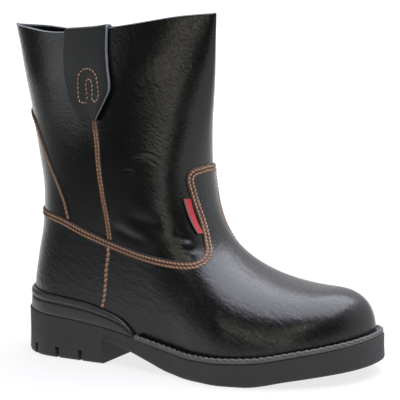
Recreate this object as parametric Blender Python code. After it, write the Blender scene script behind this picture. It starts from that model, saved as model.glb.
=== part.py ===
"""A pull-on rigger boot for the right foot, standing empty on its sole.

X runs forward to the toe, Y to the inner side of the foot and Z up from the floor. Sizes are in
millimetres until a mesh is made, and x starts at the back of the sole's heel. The empty that carries
every piece then puts the origin on the floor under the middle of the heel.
"""
import bmesh
import bpy
import numpy as np

MM = 0.001
CLEAR = 0.3

# The sole's outline, as half widths from the foot's middle line
SOLE_LENGTH = 305.0
HEEL_ROUND = 43.0
TOE_START = 212.0
TOE_POWER = 2.15
TOE_SHIFT = 25.0
OUTLINE = {
    "x": [43.0, 90.0, 125.0, 160.0, 190.0, 212.0],
    "lateral": [42.7, 41.5, 42.5, 48.0, 58.5, 63.9],
    "medial": [42.7, 40.5, 36.5, 38.8, 43.2, 43.0],
}
SOLE_TOP = {
    "x": [0.0, 50.0, 100.0, 140.0, 185.0, 230.0, 270.0, 305.0],
    "z": [37.2, 34.6, 29.6, 22.2, 16.8, 18.0, 24.0, 29.2],
}
SOLE_BOTTOM = {
    "x": [96.0, 110.0, 140.0, 162.0, 180.0, 228.0, 260.0, 285.0, 305.0],
    "z": [19.0, 16.5, 7.6, 1.6, 0.0, 0.0, 5.0, 8.2, 10.0],
}
BREAST = 94.5
HEEL_CENTRE = 45.0
ROLL_START = 228.0

# Notches in the side of the heel block, and lugs across the forefoot
NOTCHES = (25.0, 49.5, 73.0)
NOTCH_WIDTH = 3.8
NOTCH_HEIGHT = 9.0
NOTCH_DEPTH = 15.0
LUGS = (176.0, 194.0, 212.0, 230.0, 248.0, 266.0, 282.0)
LUG_GROOVE = 5.0
LUG_DEPTH = 3.0
LUG_RIM = 7.0
LUG_SPINE = 8.0

# Rings of the outsole: share of its thickness, height above that, and distance in from the outline
SOLE_RINGS = {
    "share": [0.0, 0.0, 0.45, 1.0, 1.0],
    "above": [0.0, 1.6, 0.0, -1.4, 0.0],
    "inset": [1.6, 0.5, 0.2, 0.0, 1.0],
}
HEEL_TAPER = -1.6

# The upper: back and front lines of its side view, and the shaft's half width
FEATHER_INSET = 6.0
BACK = {
    "z": [37.3, 60.0, 85.0, 110.0, 135.0, 165.0, 200.0, 240.0, 270.5],
    "x": [4.7, 7.5, 13.0, 18.8, 20.2, 16.2, 8.2, -2.6, -9.6],
}
FRONT = {
    "x": [298.0, 297.8, 292.6, 279.8, 261.0, 233.5, 203.8, 182.3, 174.4, 175.0, 181.0, 187.6, 192.0],
    "z": [28.7, 38.6, 51.8, 60.3, 62.8, 67.6, 80.6, 102.6, 131.4, 159.0, 192.3, 230.5, 269.0],
}
SHAFT = {
    "z": [60.0, 110.0, 160.0, 220.0, 271.0],
    "half": [41.6, 41.2, 42.3, 36.5, 23.0],
    "round": [43.0, 55.0, 75.0, 88.0, 98.0],
    "power": [0.47, 0.48, 0.50, 0.57, 0.74],
}
PIVOT = (222.0, 195.0)
COLLAR = {
    "around": [0.0, 0.2, 0.4, 0.5, 0.6, 0.8, 1.0],
    "lateral": [0.0, 3.6, 9.0, 8.6, 5.8, 0.8, 0.0],
    "medial": [0.0, 2.6, 9.4, 9.6, 7.4, 1.4, 0.0],
}
WALL = 3.0
WALL_MIDDLE = 1.7
SHAFT_FACE = 0.4
FOOT_FACE = -0.8
STAY_FACE = -0.4

# Upper edge of the vamp and counter, and of the stay up the back, as shares around and up the upper
FOOT_EDGE = {
    "column": [0.0, 0.19, 0.32, 0.43, 0.53, 0.61, 0.68, 0.76,
               0.83, 0.895, 0.918, 0.925, 0.932, 0.94, 0.955, 1.0],
    "around": [0.0, 0.19, 0.32, 0.43, 0.53, 0.61, 0.68, 0.755,
               0.83, 0.89, 0.918, 0.902, 0.888, 0.896, 0.926, 1.0],
    "up": [0.404, 0.41, 0.417, 0.393, 0.375, 0.368, 0.369, 0.376,
           0.404, 0.452, 0.514, 0.572, 0.607, 0.624, 0.635, 0.64],
}
STAY_EDGE = {
    "up": [0.36, 0.42, 0.47, 0.52, 0.57, 0.62, 0.67, 0.71, 0.735, 0.745],
    "around": [0.362, 0.366, 0.366, 0.348, 0.314, 0.278, 0.241, 0.20, 0.13, 0.02],
}

# Outer flap of a pull strap, its two edges as shares around
STRAP = {
    "up": [0.748, 0.762, 0.782, 0.802, 0.838, 0.90, 0.95, 1.0],
    "from": [0.484, 0.470, 0.455, 0.444, 0.434, 0.424, 0.42, 0.42],
    "to": [0.541, 0.549, 0.560, 0.570, 0.584, 0.572, 0.562, 0.556],
}
STRAP_THICK = 2.4
STRAP_FOLD = 0.6

# Side tab, as shares around and up, and how far its two faces stand off the leather
TAB = {"down": [0.0, 1.0], "from": [0.866, 0.880], "to": [0.886, 0.900], "up": [0.562, 0.484]}
TAB_FACES = (0.7, 1.9)

# Rubber cup round the heel, its height above the sole's ledge
CUP = {
    "x": [0.0, 50.0, 80.0, 95.0, 113.0, 122.0, 127.0],
    "height": [17.3, 16.6, 15.6, 14.2, 11.2, 7.0, 2.2],
}
CUP_SECTION = {
    "out": [0.0, 2.5, 2.7, 2.6, 1.8, 1.8, 2.4, 2.2, 1.2, 0.0],
    "up": [0.0, 0.0, 0.10, 0.56, 0.60, 0.67, 0.71, 0.93, 1.0, 1.0],
}
WELT_START = 129.5
WELT_SECTION = {
    "out": [0.0, 4.3, 4.6, 4.2, 2.4, 0.3],
    "up": [0.0, 0.0, 1.6, 3.2, 4.1, 3.6],
}

# Colour, roughness and metallic value of each material
MATERIALS = {
    "black_leather": ((0.022, 0.025, 0.026, 1.0), 0.30, 0.0),
    "dark_rubber": ((0.030, 0.031, 0.033, 1.0), 0.62, 0.0),
    "welt_grey": ((0.085, 0.085, 0.083, 1.0), 0.70, 0.0),
    "insole_board": ((0.110, 0.105, 0.098, 1.0), 0.85, 0.0),
    "red_tab": ((0.520, 0.030, 0.045, 1.0), 0.60, 0.0),
}
LOOKS = {
    "outsole": "dark_rubber",
    "heel_cup": "dark_rubber",
    "welt": "welt_grey",
    "insole": "insole_board",
    "upper": "black_leather",
    "pull_strap_lateral": "black_leather",
    "pull_strap_medial": "black_leather",
    "side_tab": "red_tab",
}


def smooth(t):
    t = np.clip(t, 0.0, 1.0)
    return t * t * (3.0 - 2.0 * t)


def curve(table, column, at, flat_ends=False):
    """Monotone cubic through one column of a table, over the table's first column."""
    xs = np.asarray(next(iter(table.values())), float)
    ys = np.asarray(table[column], float)
    at = np.clip(np.asarray(at, float), xs[0], xs[-1])
    gap = np.diff(xs)
    slope = np.diff(ys) / gap
    same = slope[:-1] * slope[1:] > 0
    before = np.where(same, slope[:-1], 1.0)
    after = np.where(same, slope[1:], 1.0)
    w1 = 2 * gap[1:] + gap[:-1]
    w2 = gap[1:] + 2 * gap[:-1]
    inner = np.where(same, (w1 + w2) / (w1 / before + w2 / after), 0.0)
    ends = (0.0, 0.0) if flat_ends else (slope[0], slope[-1])
    m = np.concatenate([[ends[0]], inner, [ends[1]]])
    i = np.clip(np.searchsorted(xs, at) - 1, 0, len(xs) - 2)
    t = (at - xs[i]) / gap[i]
    start = (1 + 2 * t) * (1 - t) ** 2 * ys[i] + t * (1 - t) ** 2 * gap[i] * m[i]
    end = t * t * (3 - 2 * t) * ys[i + 1] + t * t * (t - 1) * gap[i] * m[i + 1]
    return start + end


def spline(table, count):
    """Smooth line through a table of side-view points, as count points evenly spaced along it."""
    points = np.stack([np.asarray(table["x"], float), np.asarray(table["z"], float)], 1)
    gap = np.hypot(*np.diff(points, axis=0).T)
    along = np.concatenate([[0.0], np.cumsum(gap)])
    n = len(points)
    system = np.zeros((n, n))
    right = np.zeros((n, 2))
    system[0, 0] = 1.0
    system[-1, -1] = 1.0
    for k in range(1, n - 1):
        system[k, k - 1:k + 2] = gap[k - 1], 2 * (gap[k - 1] + gap[k]), gap[k]
        ahead = (points[k + 1] - points[k]) / gap[k]
        behind = (points[k] - points[k - 1]) / gap[k - 1]
        right[k] = 6 * (ahead - behind)
    bend = np.linalg.solve(system, right)
    at = np.linspace(0.0, along[-1], count)
    i = np.clip(np.searchsorted(along, at) - 1, 0, n - 2)
    h = gap[i][:, None]
    t = (at - along[i])[:, None]
    r = h - t
    curved = bend[i] * r ** 3 / (6 * h) + bend[i + 1] * t ** 3 / (6 * h)
    return curved + (points[i] / h - bend[i] * h / 6) * r + (points[i + 1] / h - bend[i + 1] * h / 6) * t


def toe_shift(x):
    """How far the foot's middle line has moved to the inner side at x."""
    return TOE_SHIFT * smooth((np.asarray(x, float) - 120.0) / (SOLE_LENGTH - 120.0))


def plan_widths(x, inset=0.0, heel=True, tip=None):
    """Half widths of the sole's outline on the outer and the inner side, moved in by inset."""
    x = np.asarray(x, float)
    tip = SOLE_LENGTH - inset if tip is None else tip
    t = np.clip((x - TOE_START) / (tip - TOE_START), 0.0, 1.0)
    toe = (1.0 - t ** TOE_POWER) ** (1.0 / TOE_POWER)
    s = np.clip((HEEL_ROUND - x) / (HEEL_ROUND - inset), 0.0, 1.0)
    rounding = (1.0 - s ** 2.2) ** (1.0 / 2.2) if heel else 1.0
    middle = toe_shift(x)
    widths = []
    for side, sign in (("lateral", -1.0), ("medial", 1.0)):
        widths.append((curve(OUTLINE, side, x, True) - inset) * rounding * toe + sign * middle)
    return widths


def front_line(inset):
    """The upper's front line in the side view, moved in by inset, and the row where the toe is longest."""
    line = spline(FRONT, 600)
    run = np.gradient(line, axis=0)
    run /= np.hypot(run[:, 0], run[:, 1])[:, None]
    line = line + inset * np.stack([-run[:, 1], run[:, 0]], 1)
    return line, int(np.argmax(line[:300, 0]))


def upper_widths(x, z, front, nose, inset):
    """Half widths of the upper's outer and inner side at the side-view points x, z."""
    back_x = curve(BACK, "x", z) + inset
    ridge = front[nose:]
    low = int(np.argmin(ridge[:, 0]))
    over = ridge[:low + 1][::-1]
    top_z = np.interp(x, over[:, 0], over[:, 1])
    front_x = np.interp(z, ridge[:, 1], ridge[:, 0])
    half = curve(SHAFT, "half", z) - inset
    power = curve(SHAFT, "power", z)
    px, pz = PIVOT
    # Depth under the front line: straight down in the foot, level in the shaft, about the pivot between them
    bend = (front[:, 0] < px + 1.0) & (front[:, 1] < pz + 1.0) & (np.arange(len(front)) > nose)
    bend_angle = np.arctan2(px - front[bend, 0], pz - front[bend, 1])
    bend_radius = np.hypot(px - front[bend, 0], pz - front[bend, 1])
    order = np.argsort(bend_angle)
    angle = np.arctan2(px - x, pz - z)
    edge = np.interp(angle, bend_angle[order], bend_radius[order])
    turn = smooth(angle / (np.pi / 2))
    foot_depth = np.interp(px, over[:, 0], over[:, 1]) - curve(SOLE_TOP, "z", px)
    shaft_depth = (np.interp(pz, ridge[:, 1], ridge[:, 0]) - curve(BACK, "x", pz)) * 0.5
    depth = np.where(x >= px, top_z - z, np.hypot(px - x, pz - z) - edge)
    full = np.where(x >= px, top_z - curve(SOLE_TOP, "z", x), foot_depth * (1 - turn) + shaft_depth * turn)
    high = z >= pz
    depth = np.where(high, front_x - x, depth)
    full = np.where(high, (front_x - back_x) * 0.5, full)
    share = np.where(depth <= 0, 1.0, np.clip(1.0 - depth / np.maximum(full, 0.001), 0.0, 1.0))
    t = np.where(high, 1.0, np.where(x >= px, 0.0, turn))
    over_top = (1.0 - share ** (2.35 - 0.35 * t)) ** (0.45 * (1 - t) + power * t)
    # Plan of the foot, ending at the toe's longest point
    tip = np.where(z < front[nose, 1], np.interp(z, front[:nose + 1, 1], front[:nose + 1, 0]), front[nose, 0])
    lean = (back_x - inset - BACK["x"][0]) * (1 - smooth(x / 120.0))
    lateral, medial = plan_widths(np.minimum(x - lean, tip), FEATHER_INSET + inset, False, tip)
    length = curve(SHAFT, "round", z)
    s = np.clip((back_x + length - x) / length, 0.0, 1.0)
    behind = (1.0 - s ** 2.1) ** power
    lift = np.maximum(smooth((z - 50.0) / 90.0) * smooth((px + 8.0 - x) / 90.0), t)
    shift = toe_shift(x)
    kept = shift * (1 - t)
    lateral = ((lateral + shift) * (1 - lift) + (half + kept) * lift) * behind * over_top - kept
    medial = ((medial - shift) * (1 - lift) + (half - kept) * lift) * behind * over_top + kept
    return lateral, medial


def upper_points(around, up, inset=0.0, side=-1.0):
    """Points on the upper, by share around from heel to toe and share up from sole to collar."""
    around, up = np.broadcast_arrays(np.asarray(around, float), np.asarray(up, float))
    front, nose = front_line(inset)
    rows = np.linspace(0.0, 1.0, len(front))
    fx = np.interp(up, rows, front[:, 0])
    fz = np.interp(up, rows, front[:, 1])
    low, top = BACK["z"][0], BACK["z"][-1]
    bz = low + (top - low) * (0.82 * up + 0.18 * up * up)
    bx = curve(BACK, "x", bz) + inset
    s = (1.0 - np.cos(np.pi * around)) / 2.0
    x = bx + s * (fx - bx)
    line = (1 - s) * curve(SOLE_TOP, "z", bx) + s * curve(SOLE_TOP, "z", fx)
    z = bz + s * (fz - bz) + (1.0 - smooth(up / 0.45)) * (curve(SOLE_TOP, "z", x) - line)
    dip = curve(COLLAR, "lateral" if side < 0 else "medial", around)
    z = z - smooth((up - 0.6) / 0.4) * dip
    lateral, medial = upper_widths(x, z, front, nose, inset)
    return np.stack([x, -lateral if side < 0 else medial, z], -1)


def upper_rings(around, ups, inset):
    """Closed rings of the upper, one for each share up, from the heel round the outer side and back."""
    steps = np.linspace(0.0, 1.0, around // 2 + 1)
    near = upper_points(steps[None], ups[:, None], inset, -1.0)
    far = upper_points(steps[None], ups[:, None], inset, 1.0)
    return np.concatenate([near, far[:, -2:0:-1]], 1)


def mesh_object(name, points, faces):
    """A closed mesh object from points in millimetres, its faces turned outwards."""
    mesh = bpy.data.meshes.new(name)
    mesh.from_pydata((np.asarray(points, float).reshape(-1, 3) * MM).tolist(), [], faces)
    body = bmesh.new()
    body.from_mesh(mesh)
    bmesh.ops.recalc_face_normals(body, faces=body.faces)
    body.to_mesh(mesh)
    body.free()
    obj = bpy.data.objects.new(name, mesh)
    bpy.context.scene.collection.objects.link(obj)
    obj.parent = bpy.data.objects["boot"]
    return obj


def hoop(name, grid):
    """A body whose grid of points closes on itself both ways."""
    rows, columns = grid.shape[:2]
    faces = []
    for r in range(rows):
        for c in range(columns):
            r2 = (r + 1) % rows
            c2 = (c + 1) % columns
            faces.append([r * columns + c, r * columns + c2, r2 * columns + c2, r2 * columns + c])
    return mesh_object(name, grid, faces)


def strip(name, grid):
    """A body swept through sections that close on themselves, with a flat end on the first and the last."""
    rows, columns = grid.shape[:2]
    faces = [list(range(columns)), list(range((rows - 1) * columns, rows * columns))]
    for r in range(rows - 1):
        for c in range(columns):
            c2 = (c + 1) % columns
            faces.append([r * columns + c, r * columns + c2, (r + 1) * columns + c2, (r + 1) * columns + c])
    return mesh_object(name, grid, faces)


def slab(name, outer, inner):
    """A body between two grids of the same shape."""
    sections = np.concatenate([outer, inner[:, ::-1]], 1)
    rows, columns = sections.shape[:2]
    half = columns // 2
    faces = []
    for r in (0, rows - 1):
        for c in range(half - 1):
            base = r * columns
            faces.append([base + c, base + c + 1, base + columns - 2 - c, base + columns - 1 - c])
    for r in range(rows - 1):
        for c in range(columns):
            c2 = (c + 1) % columns
            faces.append([r * columns + c, r * columns + c2, (r + 1) * columns + c2, (r + 1) * columns + c])
    return mesh_object(name, sections, faces)


def stack(name, rings):
    """A body of closed outlines one above the other, with cross strips over the first and the last."""
    rows, columns = rings.shape[:2]
    half = columns // 2
    faces = []
    for r in range(rows - 1):
        for c in range(columns):
            c2 = (c + 1) % columns
            faces.append([r * columns + c, r * columns + c2, (r + 1) * columns + c2, (r + 1) * columns + c])
    for r in (0, rows - 1):
        base = r * columns
        faces.append([base, base + 1, base + columns - 1])
        for c in range(1, half - 1):
            faces.append([base + c, base + c + 1, base + columns - c - 1, base + columns - c])
        faces.append([base + half - 1, base + half, base + half + 1])
    return mesh_object(name, rings, faces)


def combine(obj, other, operation, solver="EXACT"):
    """A Boolean between two objects, the second kept as a hidden helper."""
    other.hide_render = True
    other.display_type = "WIRE"
    modifier = obj.modifiers.new(other.name, "BOOLEAN")
    modifier.operation = operation
    modifier.solver = solver
    modifier.object = other


def blocks(name, boxes):
    """One mesh of separate boxes, each given by its low and high corner."""
    points = []
    faces = []
    for low, high in boxes:
        n = len(points)
        for z in (low[2], high[2]):
            points += [(low[0], low[1], z), (high[0], low[1], z), (high[0], high[1], z), (low[0], high[1], z)]
        faces += [[n, n + 3, n + 2, n + 1], [n + 4, n + 5, n + 6, n + 7]]
        for k in range(4):
            j = (k + 1) % 4
            faces.append([n + k, n + j, n + 4 + j, n + 4 + k])
    return mesh_object(name, points, faces)


def outsole():
    heel = BREAST * (1 - np.cos(np.linspace(0.0, np.pi / 2, 11))) ** 0.9
    waist = np.array([96.0, 103.0, 112.0, 122.0, 132.0, 142.0, 152.0, 162.0, 171.0, 180.0, 196.0, 212.0])
    toe = ROLL_START + (SOLE_LENGTH - ROLL_START) * np.sin(np.linspace(0.0, np.pi / 2, 14))
    stations = np.concatenate([heel, waist, toe])
    on_heel = stations <= BREAST
    bottom = np.where(on_heel, 0.0, curve(SOLE_BOTTOM, "z", stations))
    top = curve(SOLE_TOP, "z", stations)
    rings = []
    for share, above, inset in zip(*SOLE_RINGS.values()):
        z = bottom + (top - bottom) * share + above
        taper = HEEL_TAPER * (1 - share) * smooth((110.0 - stations) / 30.0)
        at = np.clip(stations, inset, SOLE_LENGTH - inset)
        lateral, medial = plan_widths(at, inset)
        at = at + taper * (1 - smooth(stations / 50.0))
        near = np.stack([at, -(lateral - taper * (lateral > 3.0)), z], -1)
        far = np.stack([at, medial - taper * (medial > 3.0), z], -1)
        rings.append(np.concatenate([near, far[-2:0:-1]]))
    body = stack("outsole", np.array(rings))
    cuts = []
    for x in NOTCHES:
        lateral, medial = plan_widths(x)
        back, front = x - NOTCH_WIDTH / 2, x + NOTCH_WIDTH / 2
        cuts.append(((back, -lateral - 3.0, -1.0), (front, NOTCH_DEPTH - lateral, NOTCH_HEIGHT)))
        cuts.append(((back, medial - NOTCH_DEPTH, -1.0), (front, medial + 3.0, NOTCH_HEIGHT)))
    for x in LUGS:
        back, front = x - LUG_GROOVE / 2, x + LUG_GROOVE / 2
        lateral, medial = plan_widths(np.array([back, front]), LUG_RIM)
        middle = float(toe_shift(x))
        ceiling = LUG_DEPTH + float(curve(SOLE_BOTTOM, "z", max(x, 180.0)))
        cuts.append(((back, -lateral.min(), -1.0), (front, middle - LUG_SPINE / 2, ceiling)))
        cuts.append(((back, middle + LUG_SPINE / 2, -1.0), (front, medial.min(), ceiling)))
    combine(body, blocks("outsole_cuts", cuts), "DIFFERENCE")


def skin_normals(line):
    """Level directions pointing out of a line that runs from one side round an end to the other."""
    run = np.gradient(line, axis=0)
    out = np.stack([run[:, 1], -run[:, 0], 0 * run[:, 0]], -1)
    return out / np.linalg.norm(out, axis=1)[:, None]


def round_heel(steps, up):
    """The raised face of the foot from the outer side round the heel to the inner side."""
    near = upper_points(steps, up, FOOT_FACE, -1.0)
    far = upper_points(steps, up, FOOT_FACE, 1.0)
    return np.concatenate([near[::-1], far[1:]])


def share_at(x, side):
    """Share around the feather line that lies at x."""
    steps = np.linspace(0.0, 1.0, 400)
    return float(np.interp(x, upper_points(steps, 0.0 * steps, FOOT_FACE, side)[:, 0], steps))


def heel_cup():
    end = share_at(CUP["x"][-1], -1.0)
    steps = end * np.linspace(0.0, 1.0, 14)
    base = round_heel(steps, 0.0 * steps)
    out = -skin_normals(base)
    height = curve(CUP, "height", base[:, 0])
    # The upper's own lean over the cup's height
    raised = round_heel(steps, 0.0 * steps + 0.07)
    lean = (raised - base)[:, :2] / (raised - base)[:, 2:]
    rows = []
    for d, u in zip(CUP_SECTION["out"], CUP_SECTION["up"]):
        row = base + out * (d + CLEAR + 0.1)
        row[:, :2] += lean * (height * u)[:, None]
        row[:, 2] = curve(SOLE_TOP, "z", base[:, 0]) + CLEAR + height * u
        rows.append(row)
    strip("heel_cup", np.array(rows).transpose(1, 0, 2))


def welt():
    start = share_at(WELT_START, -1.0)
    steps = np.linspace(start, 1.0, 22)
    near = upper_points(steps, 0.0 * steps, FOOT_FACE, -1.0)
    far = upper_points(steps, 0.0 * steps, FOOT_FACE, 1.0)
    base = np.concatenate([near, far[-2::-1]])
    out = skin_normals(base)
    rows = []
    for d, u in zip(WELT_SECTION["out"], WELT_SECTION["up"]):
        row = base + out * (d + CLEAR + 0.4)
        row[:, 2] = curve(SOLE_TOP, "z", row[:, 0]) + CLEAR + u
        rows.append(row)
    strip("welt", np.array(rows).transpose(1, 0, 2))


def insole():
    ring = upper_rings(48, np.array([0.0]), WALL + 0.9)[0]
    rings = []
    for lift in (0.0, 3.0):
        row = ring.copy()
        row[:, 2] = curve(SOLE_TOP, "z", ring[:, 0]) + CLEAR + lift
        rings.append(row)
    stack("insole", np.array(rings))


def wall_layer(columns, rows, face, closed):
    """Outer and inner grid of a layer in the wall. columns and rows are shares around and up one side."""
    grids = []
    for inset in (face, WALL_MIDDLE):
        near = upper_points(columns, rows, inset, -1.0)
        far = upper_points(columns, rows, inset, 1.0)
        if closed:
            grids.append(np.concatenate([near, far[:, -2:0:-1]], 1))
        else:
            grids.append(np.concatenate([near[:, ::-1], far[:, 1:]], 1))
    return grids


def upper():
    rows = np.concatenate([np.linspace(0.0, 0.3, 11), np.linspace(0.335, 0.6, 9), np.linspace(0.66, 1.0, 7)])
    outer = upper_rings(46, rows, SHAFT_FACE)
    inner = upper_rings(46, rows, WALL)
    body = hoop("upper", np.concatenate([outer, inner[::-1]]))
    # Vamp and counter, one step of the wall, closed round the heel and the toe
    tongue = [0.895, 0.907, 0.918, 0.925, 0.932, 0.94, 0.955, 0.977, 1.0]
    t = np.concatenate([np.linspace(0.0, 0.865, 17), tongue])
    across = curve(FOOT_EDGE, "around", t)
    height = curve(FOOT_EDGE, "up", t)
    w = np.concatenate([np.linspace(0.0, 0.42, 9), np.linspace(0.5, 1.0, 8)])[:, None]
    # Columns run straight up and turn to the edge's own shape only near it
    columns = t + (across - t) * w ** 12
    rows = 0.006 + (height - 0.006) * w
    outer, inner = wall_layer(columns, rows, FOOT_FACE, True)
    combine(body, hoop("vamp_and_counter", np.concatenate([outer, inner[::-1]])), "UNION", "MANIFOLD")
    # Stay up the back, wide at the counter and closed above
    height = np.linspace(STAY_EDGE["up"][0], STAY_EDGE["up"][-1], 10)[:, None]
    columns = curve(STAY_EDGE, "around", height) * np.linspace(0.0, 1.0, 7)
    outer, inner = wall_layer(columns, height + 0.0 * columns, STAY_FACE, False)
    combine(body, slab("back_stay", outer, inner), "UNION", "MANIFOLD")


def pull_strap(name, side):
    """A leather strap folded over the collar, its outer flap long and its inner flap short."""
    across = np.linspace(0.0, 1.0, 7)
    inner_rows = []
    outer_rows = []
    lift = 0.4 + 1.8 * smooth((across - 0.45) / 0.5)
    for up in np.linspace(STRAP["up"][0], STRAP["up"][-1], 12):
        left = curve(STRAP, "from", up)
        wide = left + (curve(STRAP, "to", up) - left) * across
        face = upper_points(wide, up + 0 * wide, SHAFT_FACE, side)
        out = skin_normals(face) * (1.0 if side < 0 else -1.0)
        gap = CLEAR + 0.3 + lift * (1 - 0.85 * smooth((up - 0.8) / 0.2))
        inner_rows.append(face + out * gap[:, None])
        outer_rows.append(face + out * (gap + STRAP_THICK)[:, None])
    wide = STRAP["from"][-1] + across * (STRAP["to"][-1] - STRAP["from"][-1])
    rim_out = upper_points(wide, 1.0 + 0 * wide, SHAFT_FACE, side)
    rim_in = upper_points(wide, 1.0 + 0 * wide, WALL, side)
    out = skin_normals(rim_out) * (1.0 if side < 0 else -1.0)
    middle = (rim_out + rim_in) / 2
    reach = np.abs(((rim_out - rim_in) * out).sum(1)) / 2
    for angle in (30.0, 90.0, 150.0):
        c = np.cos(np.radians(angle))
        s = np.sin(np.radians(angle))
        for rows, extra in ((inner_rows, STRAP_FOLD), (outer_rows, STRAP_FOLD + STRAP_THICK)):
            row = middle + out * ((reach + extra) * c)[:, None]
            row[:, 2] += extra * s
            rows.append(row)
    for up in (0.975, 0.93, 0.885):
        face = upper_points(wide, up + 0 * wide, WALL, side)
        inner_rows.append(face - out * STRAP_FOLD)
        outer_rows.append(face - out * (STRAP_FOLD + STRAP_THICK))
    slab(name, np.array(outer_rows), np.array(inner_rows))


def side_tab():
    """A plain folded tab sewn into the edge of the vamp."""
    outer = []
    inner = []
    for t in np.linspace(0.0, 1.0, 6):
        around = np.linspace(curve(TAB, "from", t), curve(TAB, "to", t), 4)
        face = upper_points(around, 0 * around + curve(TAB, "up", t), SHAFT_FACE, -1.0)
        out = skin_normals(face)
        inner.append(face + out * TAB_FACES[0])
        outer.append(face + out * TAB_FACES[1])
    slab("side_tab", np.array(outer), np.array(inner))


def dress():
    """Materials and smooth shading, with the edges of soles and panels kept sharp."""
    for name, look in LOOKS.items():
        colour, roughness, metallic = MATERIALS[look]
        material = bpy.data.materials.get(look)
        if material is None:
            material = bpy.data.materials.new(look)
            material.use_nodes = True
            shader = material.node_tree.nodes["Principled BSDF"]
            shader.inputs["Base Color"].default_value = colour
            shader.inputs["Roughness"].default_value = roughness
            shader.inputs["Metallic"].default_value = metallic
            material.diffuse_color = colour
        mesh = bpy.data.objects[name].data
        mesh.materials.append(material)
        mesh.shade_smooth()
        mesh.set_sharp_from_angle(angle=np.radians(35.0))


def build():
    for old in list(bpy.data.objects):
        bpy.data.objects.remove(old)
    frame = bpy.data.objects.new("boot", None)
    frame.location.x = -HEEL_CENTRE * MM
    bpy.context.scene.collection.objects.link(frame)
    outsole()
    heel_cup()
    welt()
    insole()
    upper()
    pull_strap("pull_strap_lateral", -1.0)
    pull_strap("pull_strap_medial", 1.0)
    side_tab()
    dress()


build()
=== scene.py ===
import bmesh
import bpy
import numpy as np
from mathutils import Matrix


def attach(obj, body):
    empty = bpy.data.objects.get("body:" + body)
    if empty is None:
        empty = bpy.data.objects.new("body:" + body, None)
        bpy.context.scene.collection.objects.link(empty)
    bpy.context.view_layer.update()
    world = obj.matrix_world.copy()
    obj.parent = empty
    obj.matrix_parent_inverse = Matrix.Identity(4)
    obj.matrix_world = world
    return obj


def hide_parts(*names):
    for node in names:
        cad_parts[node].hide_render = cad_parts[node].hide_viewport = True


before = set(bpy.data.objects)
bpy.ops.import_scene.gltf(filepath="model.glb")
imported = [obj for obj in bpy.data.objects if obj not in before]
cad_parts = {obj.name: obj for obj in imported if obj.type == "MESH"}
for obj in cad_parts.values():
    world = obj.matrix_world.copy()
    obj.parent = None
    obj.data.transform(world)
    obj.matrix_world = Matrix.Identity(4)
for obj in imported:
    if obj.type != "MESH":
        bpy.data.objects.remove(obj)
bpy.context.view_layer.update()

# A pull-on rigger boot for the right foot. X runs forward to the toe, Y to the inner side of the foot and
# Z up. Sizes are in millimetres until a mesh is made, with x from the back of the sole's heel.
MM = 0.001
HEEL_CENTRE = 45.0

# The camera of the photograph, and the point that it looks at
CAMERA_AZIMUTH = 34.87
CAMERA_ELEVATION = 8.655
CAMERA_ROLL = -3.04
CAMERA_DISTANCE = 889.1
CAMERA_TARGET = (167.94, 0.0, 128.03)
SENSOR = 36.0
LENS = 104.2

# The place that the lights point at, and how far off they are, in metres
LIT_PLACE = (0.12, 0.0, 0.13)
LIGHT_DISTANCE = 1.5

# The sole's outline, as half widths from the foot's middle line
SOLE_LENGTH = 305.0
HEEL_ROUND = 43.0
HEEL_POWER = 2.2
TOE_START = 212.0
TOE_POWER = 2.15
TOE_SHIFT = 25.0
SHIFT_START = 120.0
TREAD_START = 180.0
ROLL_START = 228.0
OUTLINE = {
    "x": [43.0, 90.0, 125.0, 160.0, 190.0, 212.0],
    "lateral": [42.7, 41.5, 42.5, 48.0, 58.5, 63.9],
    "medial": [42.7, 40.5, 36.5, 38.8, 43.2, 43.0],
}
SOLE_TOP = {
    "x": [0.0, 50.0, 100.0, 140.0, 185.0, 230.0, 270.0, 305.0],
    "z": [37.2, 34.6, 29.6, 22.2, 16.8, 18.0, 24.0, 29.2],
}
SOLE_BOTTOM = {
    "x": [96.0, 110.0, 140.0, 162.0, 180.0, 228.0, 260.0, 285.0, 305.0],
    "z": [19.0, 16.5, 7.6, 1.6, 0.0, 0.0, 5.0, 8.2, 10.0],
}
BREAST = 94.5
NOTCHES = (25.0, 49.5, 73.0)
NOTCH_WIDTH = 3.8
NOTCH_HEIGHT = 9.0
NOTCH_DEPTH = 15.0
LUGS = (176.0, 194.0, 212.0, 230.0, 248.0, 266.0, 282.0)
LUG_GROOVE = 5.0
LUG_DEPTH = 3.0
LUG_RIM = 7.0
LUG_SPINE = 8.0
SOLE_RINGS = {
    "share": [0.0, 0.0, 0.0, 0.0, 0.3, 0.6, 1.0, 1.0, 1.0, 1.0],
    "above": [0.0, 0.4, 1.2, 2.4, 0.0, 0.0, -2.2, -1.3, -0.4, 0.0],
    "inset": [2.2, 1.1, 0.4, 0.15, 0.3, 0.35, 0.1, 0.0, 0.25, 1.0],
}
HEEL_TAPER = -1.6

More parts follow.
